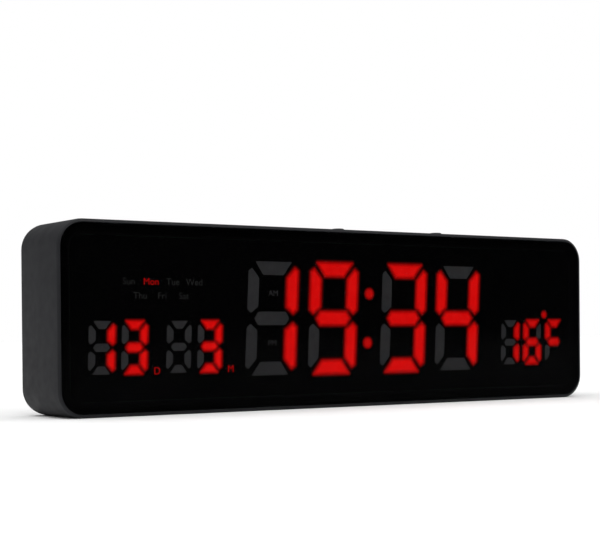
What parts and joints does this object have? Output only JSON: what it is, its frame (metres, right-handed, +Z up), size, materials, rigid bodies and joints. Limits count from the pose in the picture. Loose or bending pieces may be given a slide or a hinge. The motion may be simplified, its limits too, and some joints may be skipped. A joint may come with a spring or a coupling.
{
  "type": "digital LED calendar timer",
  "caption": "Slim rounded case with a smoked lens over red seven-segment time, date and temperature, two top push buttons, keyholes and a power inlet at the back.",
  "frame": {"origin": "bottom centre of the case, on the surface it stands on, midway between front rim and back cover", "axes": "+Z up, +X to the right seen from the front, the display faces -Y"},
  "size_m": [0.36, 0.0466, 0.102],
  "materials": {
    "case_plastic": "fine-grained moulded plastic",
    "button_plastic": "fine-grained moulded plastic",
    "smoked_lens": "polished smoked acrylic",
    "foam_tape": "black foam",
    "mask_film": "black printed film",
    "segment_lit": "glowing red diffuser",
    "segment_unlit": "unlit milky diffuser",
    "white_plastic": "white moulded plastic",
    "board_laminate": "green solder mask",
    "led_chip": "clear resin over phosphor",
    "chip_plastic": "black moulded epoxy",
    "capacitor_sleeve": "shrunk sleeve",
    "sensor_lens": "clear resin",
    "plunger_plastic": "natural nylon",
    "steel": "zinc plated",
    "black_screw": "black oxide",
    "contact_metal": "sprung brass",
    "wire_sleeve": "soft wire sleeve"
  },
  "bodies": {
    "case": {"front_housing": "case_plastic", "front_lens": "smoked_lens", "lens_tape": "foam_tape", "segment_mask": "mask_film", "time_segments_lit": "segment_lit", "time_segments_unlit": "segment_unlit", "date_segments_lit": "segment_lit", "date_segments_unlit": "segment_unlit", "temperature_segments_lit": "segment_lit", "temperature_segments_unlit": "segment_unlit", "indicator_dots": "segment_lit", "weekday_diffusers": "segment_unlit", "legend_diffusers": "segment_unlit", "time_reflector": "white_plastic", "date_reflector": "white_plastic", "temperature_reflector": "white_plastic", "weekday_reflector": "white_plastic", "display_board": "board_laminate", "display_leds": "led_chip", "clock_controller": "chip_plastic", "segment_drivers": "chip_plastic", "timing_crystal": "steel", "power_capacitors": "capacitor_sleeve", "buzzer": "chip_plastic", "infrared_receiver": "chip_plastic", "light_sensor": "sensor_lens", "temperature_sensor": "capacitor_sleeve", "board_connectors": "white_plastic", "harness_plugs": "white_plastic", "board_screws": "steel", "button_board": "board_laminate", "button_switches": "chip_plastic", "button_board_screws": "steel", "rear_cover": "case_plastic", "cover_screws": "black_screw", "coin_cell": "steel", "cell_contact_plus": "contact_metal", "cell_contact_minus": "contact_metal", "dc_jack": "chip_plastic", "jack_pin": "contact_metal", "jack_nut": "steel", "power_harness": "wire_sleeve", "button_harness": "wire_sleeve", "cell_harness": "wire_sleeve"},
    "set_button": {"set_button": "button_plastic", "set_plunger": "plunger_plastic"},
    "adjust_button": {"adjust_button": "button_plastic", "adjust_plunger": "plunger_plastic"},
    "battery_cap": {"battery_cap": "case_plastic"}
  },
  "joints": [
    {"name": "set_press", "type": "slide", "parent": "case", "child": "set_button", "axis": [0, 0, -1], "range_m": [0, 0.0008], "stiffness_N_per_m": 900},
    {"name": "adjust_press", "type": "slide", "parent": "case", "child": "adjust_button", "axis": [0, 0, -1], "range_m": [0, 0.0008], "stiffness_N_per_m": 900},
    {"name": "battery_cap_turn", "type": "hinge", "parent": "case", "child": "battery_cap", "pos_m": [-0.06, 0.02225, 0.038], "axis": [0, 1, 0], "range_deg": [0, 60]}
  ]
}
